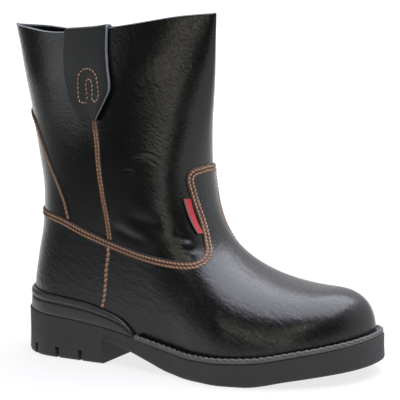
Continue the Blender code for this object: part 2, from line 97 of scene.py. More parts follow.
# The upper: back and front lines of its side view, and the shaft's half width
FEATHER_INSET = 6.0
BACK = {
    "z": [37.3, 60.0, 85.0, 110.0, 135.0, 165.0, 200.0, 240.0, 270.5],
    "x": [4.7, 7.5, 13.0, 18.8, 20.2, 16.2, 8.2, -2.6, -9.6],
}
FRONT = {
    "x": [298.0, 297.8, 292.6, 279.8, 261.0, 233.5, 203.8, 182.3, 174.4, 175.0, 181.0, 187.6, 192.0],
    "z": [28.7, 38.6, 51.8, 60.3, 62.8, 67.6, 80.6, 102.6, 131.4, 159.0, 192.3, 230.5, 269.0],
}
SHAFT = {
    "z": [60.0, 110.0, 160.0, 220.0, 271.0],
    "half": [41.6, 41.2, 42.3, 36.5, 23.0],
    "round": [43.0, 55.0, 75.0, 88.0, 98.0],
    "power": [0.47, 0.48, 0.50, 0.57, 0.74],
}
PIVOT = (222.0, 195.0)
COLLAR = {
    "around": [0.0, 0.2, 0.4, 0.5, 0.6, 0.8, 1.0],
    "lateral": [0.0, 3.6, 9.0, 8.6, 5.8, 0.8, 0.0],
    "medial": [0.0, 2.6, 9.4, 9.6, 7.4, 1.4, 0.0],
}

# Depth of each face of the upper inside its form, or outside it when negative
WALL = 3.0
SHAFT_FACE = 0.4
LEATHER_OVER = 0.1
PANEL_STEP = 0.5
COUNTER_FACE = -0.6
VAMP_FACE = -1.0
FOOT_FACE = (VAMP_FACE + COUNTER_FACE) / 2
STAY_FACE = -0.3

# Lines on the upper, as shares around and up its outer side
FOOT_EDGE = {
    "column": [0.0, 0.19, 0.32, 0.43, 0.53, 0.61, 0.68, 0.76,
               0.83, 0.895, 0.918, 0.925, 0.932, 0.94, 0.955, 1.0],
    "around": [0.0, 0.19, 0.32, 0.43, 0.53, 0.61, 0.68, 0.755,
               0.83, 0.89, 0.918, 0.902, 0.888, 0.896, 0.926, 1.0],
    "up": [0.404, 0.41, 0.417, 0.393, 0.375, 0.368, 0.369, 0.376,
           0.404, 0.452, 0.514, 0.572, 0.607, 0.624, 0.635, 0.64],
}

# How much farther back the tongue reaches on the inner side
TONGUE_BACK = 0.048

# Edge of the back stay, the seams at the side and low on the foot, and the tab
STAY_EDGE = {
    "column": [0.0, 0.13, 0.24, 0.36, 0.48, 0.6, 0.72, 0.82, 0.9, 0.96, 1.0],
    "up": [0.36, 0.42, 0.47, 0.52, 0.57, 0.62, 0.67, 0.71, 0.735, 0.748, 0.752],
    "around": [0.362, 0.366, 0.366, 0.348, 0.314, 0.278, 0.241, 0.20, 0.13, 0.05, 0.0],
}
SIDE_SEAM = {
    "up": [0.30, 0.391, 0.481, 0.575, 0.659, 0.747, 1.0],
    "around": [0.455, 0.486, 0.518, 0.529, 0.529, 0.517, 0.49],
}
SIDE_COLUMN = 0.53
LOW_SEAM = {
    "up": [0.0, 0.056, 0.14, 0.23, 0.363, 0.40],
    "around": [0.349, 0.371, 0.398, 0.425, 0.477, 0.49],
}
LOW_COLUMN = 0.47
TAB = {
    "down": [0.0, 1.0],
    "from": [0.867, 0.884],
    "to": [0.901, 0.912],
    "up": [0.563, 0.478],
}
TAB_FACES = (0.6, 1.7)

# Outer flap of a pull strap, its two edges as shares around
STRAP = {
    "up": [0.748, 0.762, 0.782, 0.802, 0.838, 0.90, 0.95, 1.0],
    "from": [0.484, 0.470, 0.455, 0.444, 0.434, 0.424, 0.42, 0.42],
    "to": [0.541, 0.549, 0.560, 0.570, 0.584, 0.572, 0.562, 0.556],
}
STRAP_THICK = 2.4
STRAP_FOLD = 0.6
STRAP_STITCHES = {
    "around": [0.512, 0.509, 0.507, 0.511, 0.522, 0.528, 0.529, 0.531, 0.540, 0.550,
               0.547, 0.540, 0.524, 0.500, 0.483, 0.480, 0.480, 0.484, 0.512],
    "up": [0.805, 0.829, 0.853, 0.867, 0.865, 0.848, 0.825, 0.805, 0.800, 0.812,
           0.846, 0.875, 0.892, 0.896, 0.882, 0.850, 0.818, 0.800, 0.799],
}

# Rubber cup round the heel, its height above the sole's ledge
CUP = {
    "x": [0.0, 50.0, 80.0, 95.0, 113.0, 122.0, 127.0],
    "height": [17.3, 16.6, 15.6, 14.2, 11.2, 7.0, 2.2],
}
CUP_SECTION = {
    "out": [0.0, 2.3, 2.55, 2.6, 2.5, 2.3, 1.5, 1.4, 2.3, 2.7, 2.7, 2.3, 1.5, 0.8, 0.0],
    "up": [0.0, 0.0, 0.03, 0.15, 0.46, 0.56, 0.59, 0.64, 0.68, 0.73, 0.84, 0.93, 0.98, 1.0, 1.0],
}

# Welt round the forefoot, and its section from the foot outward
WELT_START = 129.5
WELT_SECTION = {
    "out": [0.0, 4.2, 4.55, 4.5, 4.0, 2.6, 0.9, 0.0],
    "up": [0.0, 0.0, 0.5, 1.6, 2.2, 2.35, 2.1, 1.8],
}

# Gap left between pieces that touch
CLEAR = 0.3

# Thread: distance between needle holes and radius of the thread
FINE_PITCH = 3.0
FINE_THREAD = 0.68
STAY_PITCH = 3.5
STAY_THREAD = 0.85
THICK_PITCH = 4.3
THICK_THREAD = 1.15
WELT_PITCH = 5.4
WELT_THREAD = 1.0
STRAP_THREAD = 0.5
STRAP_PITCH = 3.3

# Distance of the rows of thread from the edge of the leather
FIRST_ROW = 1.9
SECOND_ROW = 4.9
SIDE_ROWS = (1.5, 4.3)
LOW_ROW = 2.0

# How far a stitch leans to each side, for its radius
SLANT = 0.9

# Length of a whole share around at the side seam and at the low seam
SHAFT_SHARE = 303.0
SOLE_SHARE = 440.0

# Creases of the leather, each through three points, with its half width and depth in millimetres
CREASES = {
    "around": [(0.655, 0.715, 0.775), (0.62, 0.655, 0.69), (0.70, 0.745, 0.785), (0.60, 0.68, 0.76),
               (0.52, 0.58, 0.66), (0.78, 0.825, 0.86), (0.74, 0.80, 0.85)],
    "up": [(0.649, 0.653, 0.631), (0.611, 0.618, 0.612), (0.668, 0.664, 0.645), (0.50, 0.485, 0.49),
           (0.445, 0.43, 0.42), (0.485, 0.462, 0.465), (0.43, 0.425, 0.44)],
    "width": [0.8, 0.8, 0.8, 5.0, 4.0, 3.0, 2.2],
    "depth": [0.6, 0.35, 0.25, 0.8, 0.7, 0.6, 0.4],
}


def smooth(t):
    """Soft step from 0 to 1."""
    t = np.clip(t, 0.0, 1.0)
    return t * t * (3.0 - 2.0 * t)


def curve(table, column, at, flat_ends=False):
    """Monotone cubic through one column of a table, over the table's first column."""
    xs = np.asarray(next(iter(table.values())), float)
    ys = np.asarray(table[column], float)
    at = np.clip(np.asarray(at, float), xs[0], xs[-1])
    gap = np.diff(xs)
    slope = np.diff(ys) / gap
    same = slope[:-1] * slope[1:] > 0
    before = np.where(same, slope[:-1], 1.0)
    after = np.where(same, slope[1:], 1.0)
    w1 = 2 * gap[1:] + gap[:-1]
    w2 = gap[1:] + 2 * gap[:-1]
    inner = np.where(same, (w1 + w2) / (w1 / before + w2 / after), 0.0)
    ends = (0.0, 0.0) if flat_ends else (slope[0], slope[-1])
    m = np.concatenate([[ends[0]], inner, [ends[1]]])
    i = np.clip(np.searchsorted(xs, at) - 1, 0, len(xs) - 2)
    t = (at - xs[i]) / gap[i]
    start = (1 + 2 * t) * (1 - t) ** 2 * ys[i] + t * (1 - t) ** 2 * gap[i] * m[i]
    end = t * t * (3 - 2 * t) * ys[i + 1] + t * t * (t - 1) * gap[i] * m[i + 1]
    return start + end


def reach(points):
    """Length along a line of points as far as each of them."""
    return np.concatenate([[0.0], np.cumsum(np.linalg.norm(np.diff(points, axis=0), axis=1))])


def spline(points, count):
    """Smooth line through points, as count points evenly spaced along it."""
    points = np.asarray(points, float)
    along = reach(points)
    gap = np.diff(along)
    n = len(points)
    system = np.zeros((n, n))
    right = np.zeros_like(points)
    system[0, 0] = 1.0
    system[-1, -1] = 1.0
    for k in range(1, n - 1):
        system[k, k - 1:k + 2] = gap[k - 1], 2 * (gap[k - 1] + gap[k]), gap[k]
        ahead = (points[k + 1] - points[k]) / gap[k]
        behind = (points[k] - points[k - 1]) / gap[k - 1]
        right[k] = 6 * (ahead - behind)
    bend = np.linalg.solve(system, right)
    at = np.linspace(0.0, along[-1], count)
    i = np.clip(np.searchsorted(along, at) - 1, 0, n - 2)
    h = gap[i][:, None]
    t = (at - along[i])[:, None]
    r = h - t
    curved = bend[i] * r ** 3 / (6 * h) + bend[i + 1] * t ** 3 / (6 * h)
    return curved + (points[i] / h - bend[i] * h / 6) * r + (points[i + 1] / h - bend[i + 1] * h / 6) * t


def toe_shift(x):
    """How far the foot's middle line has moved to the inner side at x."""
    return TOE_SHIFT * smooth((np.asarray(x, float) - SHIFT_START) / (SOLE_LENGTH - SHIFT_START))


def plan_widths(x, inset=0.0, heel=True, tip=None):
    """Half widths of the sole's outline on the outer and the inner side, moved in by inset."""
    x = np.asarray(x, float)
    tip = SOLE_LENGTH - inset if tip is None else tip
    t = np.clip((x - TOE_START) / (tip - TOE_START), 0.0, 1.0)
    toe = (1.0 - t ** TOE_POWER) ** (1.0 / TOE_POWER)
    s = np.clip((HEEL_ROUND - x) / (HEEL_ROUND - inset), 0.0, 1.0)
    rounding = (1.0 - s ** HEEL_POWER) ** (1.0 / HEEL_POWER) if heel else 1.0
    middle = toe_shift(x)
    widths = []
    for side, sign in (("lateral", -1.0), ("medial", 1.0)):
        widths.append((curve(OUTLINE, side, x, True) - inset) * rounding * toe + sign * middle)
    return widths


def front_line(inset):
    """The upper's front line in the side view, moved in by inset, and the row where the toe is longest."""
    line = spline(np.stack([FRONT["x"], FRONT["z"]], 1), 600)
    run = np.gradient(line, axis=0)
    run /= np.hypot(run[:, 0], run[:, 1])[:, None]
    line = line + inset * np.stack([-run[:, 1], run[:, 0]], 1)
    return line, int(np.argmax(line[:300, 0]))


def upper_widths(x, z, front, nose, inset):
    """Half widths of the upper's outer and inner side at the side-view points x, z."""
    back_x = curve(BACK, "x", z) + inset
    ridge = front[nose:]
    low = int(np.argmin(ridge[:, 0]))
    over = ridge[:low + 1][::-1]
    top_z = np.interp(x, over[:, 0], over[:, 1])
    front_x = np.interp(z, ridge[:, 1], ridge[:, 0])
    half = curve(SHAFT, "half", z) - inset
    power = curve(SHAFT, "power", z)
    px, pz = PIVOT
    # Depth under the front line: straight down in the foot, level in the shaft, about the pivot between them
    bend = (front[:, 0] < px + 1.0) & (front[:, 1] < pz + 1.0) & (np.arange(len(front)) > nose)
    bend_angle = np.arctan2(px - front[bend, 0], pz - front[bend, 1])
    bend_radius = np.hypot(px - front[bend, 0], pz - front[bend, 1])
    order = np.argsort(bend_angle)
    angle = np.arctan2(px - x, pz - z)
    edge = np.interp(angle, bend_angle[order], bend_radius[order])
    turn = smooth(angle / (np.pi / 2))
    foot_depth = np.interp(px, over[:, 0], over[:, 1]) - curve(SOLE_TOP, "z", px)
    shaft_depth = (np.interp(pz, ridge[:, 1], ridge[:, 0]) - curve(BACK, "x", pz)) * 0.5
    depth = np.where(x >= px, top_z - z, np.hypot(px - x, pz - z) - edge)
    full = np.where(x >= px, top_z - curve(SOLE_TOP, "z", x), foot_depth * (1 - turn) + shaft_depth * turn)
    high = z >= pz
    depth = np.where(high, front_x - x, depth)
    full = np.where(high, (front_x - back_x) * 0.5, full)
    share = np.where(depth <= 0, 1.0, np.clip(1.0 - depth / np.maximum(full, 0.001), 0.0, 1.0))
    t = np.where(high, 1.0, np.where(x >= px, 0.0, turn))
    over_top = (1.0 - share ** (2.35 - 0.35 * t)) ** (0.45 * (1 - t) + power * t)
    # Plan of the foot, ending at the toe's longest point
    tip = np.where(z < front[nose, 1], np.interp(z, front[:nose + 1, 1], front[:nose + 1, 0]), front[nose, 0])
    lean = (back_x - inset - BACK["x"][0]) * (1 - smooth(x / 120.0))
    lateral, medial = plan_widths(np.minimum(x - lean, tip), FEATHER_INSET + inset, False, tip)
    length = curve(SHAFT, "round", z)
    s = np.clip((back_x + length - x) / length, 0.0, 1.0)
    behind = (1.0 - s ** 2.1) ** power
    lift = np.maximum(smooth((z - 50.0) / 90.0) * smooth((px + 8.0 - x) / 90.0), t)
    shift = toe_shift(x)
    kept = shift * (1 - t)
    lateral = ((lateral + shift) * (1 - lift) + (half + kept) * lift) * behind * over_top - kept
    medial = ((medial - shift) * (1 - lift) + (half - kept) * lift) * behind * over_top + kept
    return lateral, medial


def upper_points(around, up, inset=0.0, side=-1.0):
    """Points on the upper, by shares around from heel to toe and shares up from sole to collar."""
    front, nose = front_line(inset)
    rows = np.linspace(0.0, 1.0, len(front))
    fx = np.interp(up, rows, front[:, 0])
    fz = np.interp(up, rows, front[:, 1])
    low = BACK["z"][0]
    top = BACK["z"][-1]
    bz = low + (top - low) * (0.82 * up + 0.18 * up * up)
    bx = curve(BACK, "x", bz) + inset
    s = (1.0 - np.cos(np.pi * around)) / 2.0
    x = bx + s * (fx - bx)
    line = (1 - s) * curve(SOLE_TOP, "z", bx) + s * curve(SOLE_TOP, "z", fx)
    z = bz + s * (fz - bz) + (1.0 - smooth(up / 0.45)) * (curve(SOLE_TOP, "z", x) - line)
    dip = curve(COLLAR, "lateral" if side < 0 else "medial", around)
    z = z - smooth((up - 0.6) / 0.4) * dip
    lateral, medial = upper_widths(x, z, front, nose, inset)
    return np.stack([x, -lateral if side < 0 else medial, z], -1)


def skin(ring, up, inset=0.0):
    """Points on the upper. ring goes from 0 at the heel by the outer side to 1 at the toe and back to 2."""
    ring, up = np.broadcast_arrays(np.mod(np.asarray(ring, float), 2.0), np.asarray(up, float))
    outer = ring <= 1.0
    around = np.where(outer, ring, 2.0 - ring)
    near = upper_points(around, up, inset, -1.0)
    far = upper_points(around, up, inset, 1.0)
    return np.where(outer[..., None], near, far)


def unit(v):
    """Vectors of length 1 along others."""
    return v / np.maximum(np.linalg.norm(v, axis=-1, keepdims=True), 1e-9)


def skin_steps(ring, up):
    """How the skin moves for a whole share along the ring and up the upper."""
    e = 0.002
    ring, up = np.broadcast_arrays(np.asarray(ring, float), np.asarray(up, float))
    along = (skin(ring + e, up) - skin(ring - e, up)) / (2 * e)
    low = np.maximum(up - e, 0.0)
    high = np.minimum(up + e, 1.0)
    rise = (skin(ring, high) - skin(ring, low)) / (high - low)[..., None]
    return along, rise


def outward(ring, up):
    """Directions square out of the upper."""
    along, rise = skin_steps(ring, up)
    return unit(np.cross(along, rise))


def distance_to_line(points, line):
    """Distance from each point to a line of points, and the share of the line at the nearest place."""
    best = np.full(points.shape[:-1], 1e9)
    place = np.zeros(points.shape[:-1])
    count = len(line) - 1
    for k in range(count):
        step = line[k + 1] - line[k]
        t = np.clip(((points - line[k]) @ step) / (step @ step), 0.0, 1.0)
        d = np.linalg.norm(points - line[k] - t[..., None] * step, axis=-1)
        place = np.where(d < best, (k + t) / count, place)
        best = np.minimum(best, d)
    return best, place


def crease_lines():
    """The creases as lines in space, on both sides of the boot, with their widths and depths."""
    lines = []
    for around, up, width, depth in zip(*CREASES.values()):
        for side in (-1.0, 1.0):
            slide = 0.0 if side < 0 else 0.012
            shares = spline(np.stack([np.array(around) - slide, np.array(up) + slide], 1), 14)
            line = upper_points(shares[:, 0], shares[:, 1], 0.0, side)
            lines.append((line, width, depth * (1.0 if side < 0 else 0.7)))
    return lines


def relief(points):
    """How far creases lift or sink the leather: a soft trough with a low ridge beside it."""
    lift = np.zeros(points.shape[:-1])
    for line, width, depth in CREASE_LINES:
        d, place = distance_to_line(points, line)
        fade = smooth(np.minimum(place, 1.0 - place) / 0.35)
        trough = np.exp(-(d / width) ** 2)
        ridge = np.exp(-((d - 2.3 * width) / (1.2 * width)) ** 2)
        lift += depth * fade * (0.45 * ridge - trough)
    return lift


def leather(ring, up, inset):
    """Points on the creased upper, and the directions out of it."""
    points = skin(ring, up, inset)
    out = outward(ring, up)
    return points + out * relief(points)[..., None], out


def beside(ring, up, distance, closed=True):
    """The line that runs at a distance below another on the upper, or above it when negative."""
    along, rise = skin_steps(ring, up)
    points = skin(ring, up)
    if closed:
        run = np.roll(points, -1, 0) - np.roll(points, 1, 0)
    else:
        run = np.gradient(points, axis=0)
    across = -unit(np.cross(unit(np.cross(along, rise)), run))
    aa = (along * along).sum(-1)
    ab = (along * rise).sum(-1)
    bb = (rise * rise).sum(-1)
    pa = (across * along).sum(-1)
    pb = (across * rise).sum(-1)
    det = aa * bb - ab * ab
    return ring + distance * (pa * bb - pb * ab) / det, up + distance * (pb * aa - pa * ab) / det


def both_sides(values):
    """Column places of the outer side carried on round the inner side, back to the heel."""
    return np.concatenate([values, 2.0 - values[-2:0:-1]])


def mirrored(table, column, at):
    """A column of a table for places round the whole ring. Shares around are mirrored on the inner side."""
    outer = at <= 1.0
    value = curve(table, column, np.where(outer, at, 2.0 - at))
    return np.where(outer, value, 2.0 - value) if column == "around" else value


def seam_at(table, up, outer):
    """Where a seam crosses the height up, on the outer or the inner side."""
    value = curve(table, "around", up)
    return np.where(outer, value, 2.0 - value)


def seam_columns(even, home, steps, share, clear):
    """Columns round the whole ring with fine ones beside a seam, and each one's distance from it."""
    fine = home + steps / share
    even = even[(even < fine[0] - clear) | (even > fine[-1] + clear)]
    columns = both_sides(np.sort(np.concatenate([even, fine])))
    return columns, (np.where(columns <= 1.0, columns, 2.0 - columns) - home) * share


def along_seam(columns, ups, home, table, width):
    """Columns moved at each height so that the one at home lies on a seam."""
    outer = columns <= 1.0
    middle = np.where(outer, home, 2.0 - home)
    near = 1.0 - smooth(np.abs(columns - middle) / width)
    return columns + (seam_at(table, ups, outer[None]) - middle) * near


def grid_faces(rows, columns, wrap_rows=False, wrap_columns=False):
    """Faces with four corners each over a grid of points, which may close on itself."""
    r = np.arange(rows if wrap_rows else rows - 1)[:, None]
    c = np.arange(columns if wrap_columns else columns - 1)[None]
    r2 = (r + 1) % rows
    c2 = (c + 1) % columns
    corners = [r * columns + c, r * columns + c2, r2 * columns + c2, r2 * columns + c]
    return np.stack(corners, -1).reshape(-1, 4)


def piece(name, points, faces, slot, looks, sharp=40.0, pick=None, closed=True):
    """A mesh object from points in millimetres that rides on the boot. pick gives each face its material."""
    mesh = bpy.data.meshes.new(name)
    points = np.asarray(points, float).reshape(-1, 3)
    points = (points - (HEEL_CENTRE, 0.0, 0.0)) * MM
    faces = [list(map(int, face)) for face in faces]
    mesh.from_pydata(points.tolist(), [], faces)
    for look in looks:
        mesh.materials.append(look)
    if pick is not None:
        mesh.polygons.foreach_set("material_index", np.asarray(pick, np.int32))
    if closed:
        body = bmesh.new()
        body.from_mesh(mesh)
        bmesh.ops.recalc_face_normals(body, faces=body.faces)
        body.to_mesh(mesh)
        body.free()
    mesh.shade_smooth()
    mesh.set_sharp_from_angle(angle=np.radians(sharp))
    obj = bpy.data.objects.new(name, mesh)
    bpy.context.scene.collection.objects.link(obj)
    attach(obj, "root")
    return obj


def sheet_faces(rows, columns, edge_columns, end):
    """Faces of a sheet through closed sections and strips over its ends, with each face's material.

    The columns on the sheet's edges get material 1, the other columns 0 and the end strips that of end.
    """
    faces = list(grid_faces(rows, columns, False, True))
    pick = [int(k % columns in edge_columns) for k in range(len(faces))]
    for base in (0, (rows - 1) * columns):
        for c in range(columns // 2 - 1):
            faces.append([base + c, base + c + 1, base + columns - 2 - c, base + columns - 1 - c])
            pick.append(end)
    return faces, pick


def sweep(name, sections, slot, looks, sharp=40.0):
    """A body through closed sections, with a flat end on the first and the last."""
    rows, columns = sections.shape[:2]
    faces = list(grid_faces(rows, columns, False, True))
    faces += [list(range(columns)), list(range((rows - 1) * columns, rows * columns))]
    return piece(name, sections, faces, slot, looks, sharp)


def resample(ring, up, pitch):
    """Even steps of about pitch along a line over the upper, as shares."""
    along = reach(skin(ring, up))
    count = max(2, int(round(along[-1] / pitch)) + 1)
    at = np.linspace(0.0, along[-1], count)
    return np.interp(at, along, ring), np.interp(at, along, up)


def stitch_mesh(start, end, out, radius, gap, sides=6):
    """Rounded stitches from each start to its end, arched a little and dipping in at the needle holes."""
    run = end - start
    length = np.linalg.norm(run, axis=-1, keepdims=True)
    run = run / length
    side = unit(np.cross(run, out))
    start = start + run * gap
    length = length - 2 * gap
    along = np.array([0.0, 0.12, 0.5, 0.88, 1.0])
    thick = np.array([0.45, 0.95, 1.05, 0.95, 0.45])
    raise_by = np.array([-0.6, 0.1, 0.42, 0.1, -0.6])
    turn = np.arange(sides) / sides * 2 * np.pi
    centre = start[:, None] + run[:, None] * (length[:, None] * along[None, :, None])
    centre = centre + out[:, None] * (radius * raise_by)[None, :, None]
    ringed = (out[:, None, None] * np.cos(turn)[None, None, :, None]
              + side[:, None, None] * np.sin(turn)[None, None, :, None])
    points = centre[:, :, None] + ringed * (radius * thick)[None, :, None, None]
    bases = np.arange(len(start)) * len(along) * sides
    one = grid_faces(len(along), sides, False, True)
    faces = (one[None] + bases[:, None, None]).reshape(-1, 4).tolist()
    last = (len(along) - 1) * sides
    for base in bases:
        faces.append([base + j for j in range(sides)])
        faces.append([base + last + j for j in range(sides)])
    return points.reshape(-1, 3), faces


class Thread:
    """Rows of stitches gathered into one mesh, and the dark strip under them into another: painted shade of
    the seam's groove and needle holes, partly the thread below.
    """

    def __init__(self):
        self.parts = []
        self.shade_beds = []

    def row(self, ring, up, inset, pitch, radius, shade_bed=1.2):
        """Add stitches of about pitch along a line over the upper, and under them a dark strip of painted
        seam shade.
        """
        ring, up = resample(ring, up, pitch)
        points, out = leather(ring, up, inset)
        self.add(points, out, radius, pitch * 0.03)
        self.shade_bed(points, out, shade_bed)

    def add(self, points, out, radius, gap):
        """Add a stitch from each point to the next."""
        middle = unit(out[:-1] + out[1:])
        lean = unit(np.cross(points[1:] - points[:-1], middle)) * radius * SLANT
        self.parts.append(stitch_mesh(points[:-1] - lean, points[1:] + lean, middle, radius, gap))

    def shade_bed(self, points, out, half):
        """Add a dark strip under a row, a flat strip with sloping sides: painted shade of the seam's groove
        and needle holes, partly the thread below.
        """
        side = unit(np.cross(np.gradient(points, axis=0), out)) * half
        low = points - 0.35 * out
        high = points + 0.2 * out
        sections = np.stack([low - side * 1.15, high - side, high + side, low + side * 1.15], 1)
        self.shade_beds.append((sections.reshape(-1, 3), grid_faces(len(points), 4).tolist()))

    @staticmethod
    def joined(parts):
        """Points and faces of many parts as one."""
        points = []
        faces = []
        base = 0
        for some, more in parts:
            points.append(some)
            faces += [[int(i) + base for i in face] for face in more]
            base += len(some)
        return np.concatenate(points), faces


def node(tree, kind, inputs=None, **settings):
    """A shader node with its inputs set to values or linked to sockets."""
    made = tree.nodes.new("ShaderNode" + kind)
    for key, value in settings.items():
        setattr(made, key, value)
    for key, value in (inputs or {}).items():
        if isinstance(value, bpy.types.NodeSocket):
            tree.links.new(value, made.inputs[key])
        else:
            made.inputs[key].default_value = value
    return made


def principled(name, colour, roughness, specular=0.5):
    """A material with its node tree, its shader and the object's own coordinates."""
    look = bpy.data.materials.new(name)
    look.use_nodes = True
    tree = look.node_tree
    shader = tree.nodes["Principled BSDF"]
    shader.inputs["Base Color"].default_value = (*colour, 1.0)
    shader.inputs["Roughness"].default_value = roughness
    shader.inputs["Specular IOR Level"].default_value = specular
    look.diffuse_color = (*colour, 1.0)
    return look, tree, shader, node(tree, "TexCoord").outputs["Object"]


def surfaced(tree, shader, factor, dark, light, height, strength, depth=0.0003):
    """Colour a shader between dark and light by a factor, and bump it by a height."""
    mix = node(tree, "Mix", {0: factor, 6: (*dark, 1.0), 7: (*light, 1.0)}, data_type="RGBA")
    tree.links.new(mix.outputs[2], shader.inputs["Base Color"])
    bump = node(tree, "Bump", {"Height": height, "Distance": depth, "Strength": strength})
    tree.links.new(bump.outputs[0], shader.inputs["Normal"])


def ranged(tree, value, low, high, start=0.0, end=1.0):
    """A value that goes from low to high while another goes from start to end."""
    return node(tree, "MapRange", {0: value, 1: start, 2: end, 3: low, 4: high}).outputs[0]


def leather_look(name, dark, light, roughness, grain, streak, lean, wrinkle, specular):
    """Smooth grained leather: pebbles, slanting hair lines, low waves, and patches of colour and gloss."""
    look, tree, shader, place = principled(name, dark, roughness, specular)
    turned = node(tree, "Mapping", {"Vector": place, "Rotation": (0.0, lean, 0.0), "Scale": (1.0, 1.0, 2.8)},
                  vector_type="TEXTURE").outputs[0]
    pebbles = node(tree, "TexNoise", {"Vector": place, "Scale": 1300.0, "Detail": 2.0})
    hairs = node(tree, "TexNoise", {"Vector": turned, "Scale": 760.0, "Detail": 2.0, "Roughness": 0.6})
    waves = node(tree, "TexNoise", {"Vector": turned, "Scale": 230.0, "Detail": 3.0, "Distortion": 0.5})
    patches = node(tree, "TexNoise", {"Vector": place, "Scale": 22.0, "Detail": 4.0})
    height = 0.0
    for texture, share in ((pebbles, grain), (hairs, streak), (waves, wrinkle)):
        inputs = {0: texture.outputs[0], 1: share, 2: height}
        height = node(tree, "Math", inputs, operation="MULTIPLY_ADD").outputs[0]
    surfaced(tree, shader, patches.outputs[0], dark, light, height, 0.5, 0.00035)
    uneven = ranged(tree, hairs.outputs[0], roughness - 0.05, roughness + 0.06, 0.35, 0.65)
    tree.links.new(uneven, shader.inputs["Roughness"])
    return look


def rubber_look(name, dark, light, roughness, speck=0.5):
    """Moulded rubber or raw cut leather, finely rough, with broad patches of colour and gloss."""
    look, tree, shader, place = principled(name, dark, roughness)
    fine = node(tree, "TexNoise", {"Vector": place, "Scale": 1500.0, "Detail": 4.0})
    broad = node(tree, "TexNoise", {"Vector": place, "Scale": 45.0, "Detail": 5.0, "Roughness": 0.6})
    surfaced(tree, shader, broad.outputs[0], dark, light, fine.outputs[0], speck)
    uneven = ranged(tree, broad.outputs[0], roughness - 0.08, roughness + 0.1, 0.3, 0.7)
    tree.links.new(uneven, shader.inputs["Roughness"])
    return look


def thread_look(name, dark, light, roughness):
    """Twisted thread, with painted shade between its strands."""
    look, tree, shader, place = principled(name, light, roughness)
    twist_and_shade = node(tree, "TexWave", {"Vector": place, "Scale": 900.0, "Distortion": 3.0, "Detail": 2.0},
                 bands_direction="DIAGONAL")
    # The colour goes dark where the strands dip: painted shade between them
    surfaced(tree, shader, twist_and_shade.outputs[0], dark, light, twist_and_shade.outputs[0], 0.6)
    return look


def weave_look(name, dark, light, scale, roughness):
    """Cloth or ribbon, with painted shade between its threads."""
    look, tree, shader, place = principled(name, dark, roughness)
    waves = []
    for direction in ("X", "Z"):
        inputs = {"Vector": place, "Scale": scale, "Distortion": 0.6}
        waves.append(node(tree, "TexWave", inputs, bands_direction=direction).outputs[0])
    weave_and_shade = node(tree, "Math", {0: waves[0], 1: waves[1]}, operation="MULTIPLY").outputs[0]
    # The colour goes dark where the crossed threads dip: painted shade between them
    surfaced(tree, shader, weave_and_shade, dark, light, weave_and_shade, 0.7)
    return look


SHAFT_LEATHER = leather_look("shaft_leather", (0.0028, 0.0032, 0.0030), (0.0052, 0.0058, 0.0055),
                             roughness=0.19, grain=0.25, streak=1.2, lean=-0.8, wrinkle=0.5, specular=0.42)
FOOT_LEATHER = leather_look("foot_leather", (0.0028, 0.0031, 0.0032), (0.0052, 0.0058, 0.0061),
                            roughness=0.26, grain=0.25, streak=0.8, lean=-1.15, wrinkle=1.5, specular=0.42)
STRAP_LEATHER = leather_look("strap_leather", (0.0085, 0.0095, 0.009), (0.013, 0.014, 0.013),
                             roughness=0.42, grain=0.3, streak=0.2, lean=-0.8, wrinkle=0.8, specular=0.35)
CUT_EDGE = rubber_look("cut_leather_edge", (0.09, 0.093, 0.108), (0.15, 0.155, 0.175), 0.75)
DARK_EDGE = rubber_look("dyed_leather_edge", (0.010, 0.010, 0.010), (0.030, 0.027, 0.024), 0.6)
# Lining and insole cloth, their darker tone painted shade between the threads
LINING = weave_look("lining_cloth", (0.02, 0.02, 0.022), (0.05, 0.05, 0.052), 500.0, 0.9)
INSOLE_CLOTH = weave_look("insole_cloth", (0.04, 0.04, 0.042), (0.09, 0.09, 0.09), 380.0, 0.9)
RUBBER = rubber_look("sole_rubber", (0.011, 0.011, 0.012), (0.020, 0.020, 0.021), 0.6)
CUP_RUBBER = rubber_look("cup_rubber", (0.014, 0.015, 0.015), (0.024, 0.025, 0.025), 0.36)
WELT_RUBBER = rubber_look("welt_rubber", (0.05, 0.05, 0.048), (0.12, 0.12, 0.115), 0.8, 1.0)
# Tan thread, its darker tone painted shade between the strands
THREAD = thread_look("tan_thread", (0.17, 0.085, 0.045), (0.52, 0.33, 0.22), 0.75)
# Seam strip colour: partly the thread below, partly painted shade of the seam's groove and needle holes
SEAM_BED_SHADE = rubber_look("seam_bed_painted_shade", (0.055, 0.020, 0.010), (0.10, 0.04, 0.02), 0.7)
# Grey welt thread, its darker tone painted shade between the strands
WELT_THREAD_LOOK = thread_look("welt_thread", (0.06, 0.06, 0.058), (0.18, 0.18, 0.176), 0.85)
# Red ribbon, its darker red painted shade between the threads
TAB_RIBBON = weave_look("red_ribbon", (0.36, 0.006, 0.016), (0.64, 0.018, 0.042), 900.0, 0.6)
TAB_EDGE = rubber_look("ribbon_edge", (0.075, 0.063, 0.055), (0.13, 0.11, 0.10), 0.8)


def press(offsets, rows, depth):
    """How far thread pulls the leather in, at distances from a seam's edge."""
    offsets = np.asarray(offsets, float)
    return sum(depth * np.exp(-((offsets - row) / 0.55) ** 2) for row in rows)


